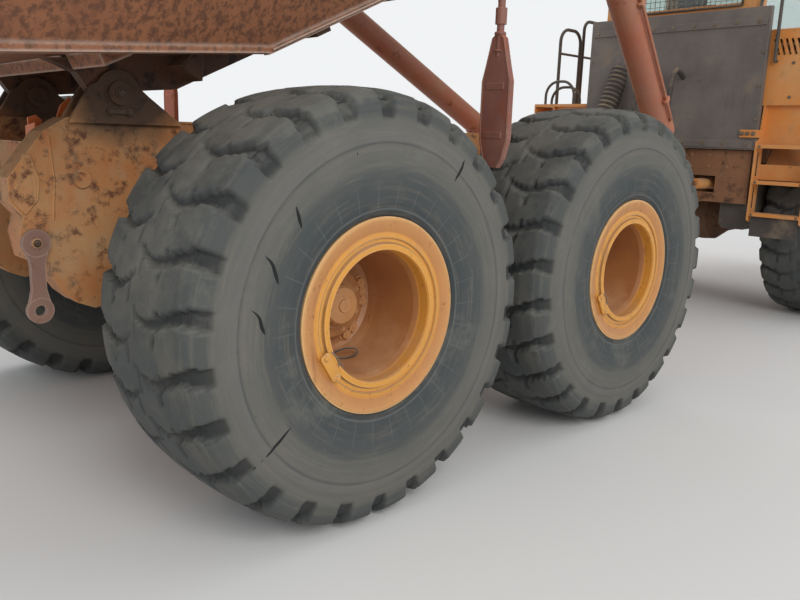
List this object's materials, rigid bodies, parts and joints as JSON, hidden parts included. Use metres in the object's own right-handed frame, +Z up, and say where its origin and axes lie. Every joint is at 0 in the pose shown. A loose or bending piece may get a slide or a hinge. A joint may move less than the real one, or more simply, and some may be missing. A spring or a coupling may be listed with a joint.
{
  "type": "articulated dump truck",
  "caption": "Articulated off-road dump truck with a raised tipping bed, steering hitch, tandem bogie, hoist cylinders, tilting bonnet and hinged cab door.",
  "frame": {"origin": "on the ground, at the middle of the whole truck's length and width", "axes": "+X forward, +Y to the truck's left, +Z up"},
  "size_m": [11.4466, 3.4346, 5.1424],
  "materials": {
    "paint": "worn gloss",
    "rim": "satin, dusty",
    "frame": "dirty satin",
    "bed": "worn and rusty",
    "ejector": "satin",
    "dark": "matt black",
    "steel": "polished",
    "tyre": "dusty",
    "rubber": "matt",
    "glass": "clear",
    "lamp": "clear",
    "iron": "dusty"
  },
  "bodies": {
    "rear_unit": {"rear_frame": "frame", "tandem_axles": "iron", "bogie_beams": "frame", "rear_shafts": "iron", "tow_link": "frame"},
    "bed": {"dump_bed": "bed", "bed_underframe": "bed"},
    "hitch": {"hitch": "frame"},
    "front_unit": {"front_frame": "frame", "front_axle": "iron", "engine_block": "iron", "bumper": "paint", "head_lamps": "lamp", "mudguards": "paint", "rear_shield": "dark", "ladders": "paint", "deck_rails": "dark", "cab_shell": "paint", "cab_glass": "glass", "cab_seat": "dark", "side_tanks": "dark", "exhaust_stack": "dark", "hoses": "rubber", "duct": "rubber"},
    "bonnet": {"bonnet": "paint", "bonnet_grille": "dark"},
    "cab_door": {"cab_door": "paint", "door_glass": "glass"},
    "ejector_left": {"ejector_left": "ejector"},
    "hoist_barrel_left": {"hoist_barrel_left": "paint"},
    "hoist_rod_left": {"hoist_rod_left": "steel"},
    "steer_barrel_left": {"steer_barrel_left": "paint"},
    "steer_rod_left": {"steer_rod_left": "steel"},
    "ejector_right": {"ejector_right": "ejector"},
    "hoist_barrel_right": {"hoist_barrel_right": "paint"},
    "hoist_rod_right": {"hoist_rod_right": "steel"},
    "steer_barrel_right": {"steer_barrel_right": "paint"},
    "steer_rod_right": {"steer_rod_right": "steel"},
    "wheel_rear_left": {"tyre_rear_left": "tyre", "wheel_rear_left": "rim"},
    "wheel_rear_right": {"tyre_rear_right": "tyre", "wheel_rear_right": "rim"},
    "wheel_middle_left": {"tyre_middle_left": "tyre", "wheel_middle_left": "rim"},
    "wheel_middle_right": {"tyre_middle_right": "tyre", "wheel_middle_right": "rim"},
    "wheel_front_left": {"tyre_front_left": "tyre", "wheel_front_left": "rim"},
    "wheel_front_right": {"tyre_front_right": "tyre", "wheel_front_right": "rim"}
  },
  "joints": [
    {"name": "hitch_roll", "type": "hinge", "parent": "rear_unit", "child": "hitch", "pos_m": [0.96814, 0, 1.28], "axis": [1, 0, 0], "range_deg": [-15, 15]},
    {"name": "steering", "type": "hinge", "parent": "hitch", "child": "front_unit", "pos_m": [1.31814, 0, 1.28], "axis": [0, 0, 1], "range_deg": [-45, 45]},
    {"name": "bed_tip", "type": "hinge", "parent": "rear_unit", "child": "bed", "pos_m": [-4.26186, 0, 1.79], "axis": [0, -1, 0], "range_deg": [-25, 45]},
    {"name": "ejector_swing_left", "type": "hinge", "parent": "bed", "child": "ejector_left", "pos_m": [-2.91172, 1.57, 2.57405], "axis": [0, -1, 0], "range_deg": [-45, 25]},
    {"name": "hoist_swing_left", "type": "hinge", "parent": "bed", "child": "hoist_barrel_left", "pos_m": [-2.51429, 1.517, 3.30003], "axis": [0.221, 0.9745, -0.0396], "range_deg": [-25.5, 45.7]},
    {"name": "hoist_stroke_left", "type": "slide", "parent": "hoist_barrel_left", "child": "hoist_rod_left", "axis": [0.8204, -0.2077, -0.5327], "range_m": [-0.9, 1.62]},
    {"name": "steer_swing_left", "type": "hinge", "parent": "front_unit", "child": "steer_barrel_left", "pos_m": [2.31814, 0.54, 1.28], "axis": [0, 0, 1], "range_deg": [-8, 8]},
    {"name": "steer_stroke_left", "type": "slide", "parent": "steer_barrel_left", "child": "steer_rod_left", "axis": [-0.985, -0.1724, 0], "range_m": [-0.31, 0.31]},
    {"name": "ejector_swing_right", "type": "hinge", "parent": "bed", "child": "ejector_right", "pos_m": [-2.91172, -1.57, 2.57405], "axis": [0, -1, 0], "range_deg": [-45, 25]},
    {"name": "hoist_swing_right", "type": "hinge", "parent": "bed", "child": "hoist_barrel_right", "pos_m": [-2.51429, -1.517, 3.30003], "axis": [-0.221, 0.9745, 0.0396], "range_deg": [-25.5, 45.7]},
    {"name": "hoist_stroke_right", "type": "slide", "parent": "hoist_barrel_right", "child": "hoist_rod_right", "axis": [0.8204, 0.2077, -0.5327], "range_m": [-0.9, 1.62]},
    {"name": "steer_swing_right", "type": "hinge", "parent": "front_unit", "child": "steer_barrel_right", "pos_m": [2.31814, -0.54, 1.28], "axis": [0, 0, 1], "range_deg": [-8, 8]},
    {"name": "steer_stroke_right", "type": "slide", "parent": "steer_barrel_right", "child": "steer_rod_right", "axis": [-0.985, 0.1724, 0], "range_m": [-0.31, 0.31]},
    {"name": "wheel_rear_left_spin", "type": "hinge", "parent": "rear_unit", "child": "wheel_rear_left", "pos_m": [-3.68186, 1.325, 0.92], "axis": [0, 1, 0], "continuous": true},
    {"name": "wheel_rear_right_spin", "type": "hinge", "parent": "rear_unit", "child": "wheel_rear_right", "pos_m": [-3.68186, -1.325, 0.92], "axis": [0, 1, 0], "continuous": true},
    {"name": "wheel_middle_left_spin", "type": "hinge", "parent": "rear_unit", "child": "wheel_middle_left", "pos_m": [-1.73186, 1.325, 0.92], "axis": [0, 1, 0], "continuous": true},
    {"name": "wheel_middle_right_spin", "type": "hinge", "parent": "rear_unit", "child": "wheel_middle_right", "pos_m": [-1.73186, -1.325, 0.92], "axis": [0, 1, 0], "continuous": true},
    {"name": "wheel_front_left_spin", "type": "hinge", "parent": "front_unit", "child": "wheel_front_left", "pos_m": [2.76814, 1.325, 0.92], "axis": [0, 1, 0], "continuous": true},
    {"name": "wheel_front_right_spin", "type": "hinge", "parent": "front_unit", "child": "wheel_front_right", "pos_m": [2.76814, -1.325, 0.92], "axis": [0, 1, 0], "continuous": true},
    {"name": "cab_door_swing", "type": "hinge", "parent": "front_unit", "child": "cab_door", "pos_m": [2.15614, 0.81, 2.7], "axis": [0, 0, 1], "range_deg": [0, 70]},
    {"name": "bonnet_tilt", "type": "hinge", "parent": "front_unit", "child": "bonnet", "pos_m": [5.51814, 0, 1.6], "axis": [0, 1, 0], "range_deg": [0, 60]}
  ],
  "couplings": [
    {"joint": "ejector_swing_left", "follows": "bed_tip", "ratio": -1},
    {"joint": "hoist_swing_left", "follows": "bed_tip", "ratio": 1.0063},
    {"joint": "hoist_stroke_left", "follows": "bed_tip", "m_per_rad": 2.0496},
    {"joint": "steer_swing_left", "follows": "steering", "ratio": -0.1102},
    {"joint": "steer_stroke_left", "follows": "steering", "m_per_rad": -0.3428},
    {"joint": "ejector_swing_right", "follows": "bed_tip", "ratio": -1},
    {"joint": "hoist_swing_right", "follows": "bed_tip", "ratio": 1.0063},
    {"joint": "hoist_stroke_right", "follows": "bed_tip", "m_per_rad": 2.0496},
    {"joint": "steer_swing_right", "follows": "steering", "ratio": -0.1102},
    {"joint": "steer_stroke_right", "follows": "steering", "m_per_rad": 0.3428}
  ]
}
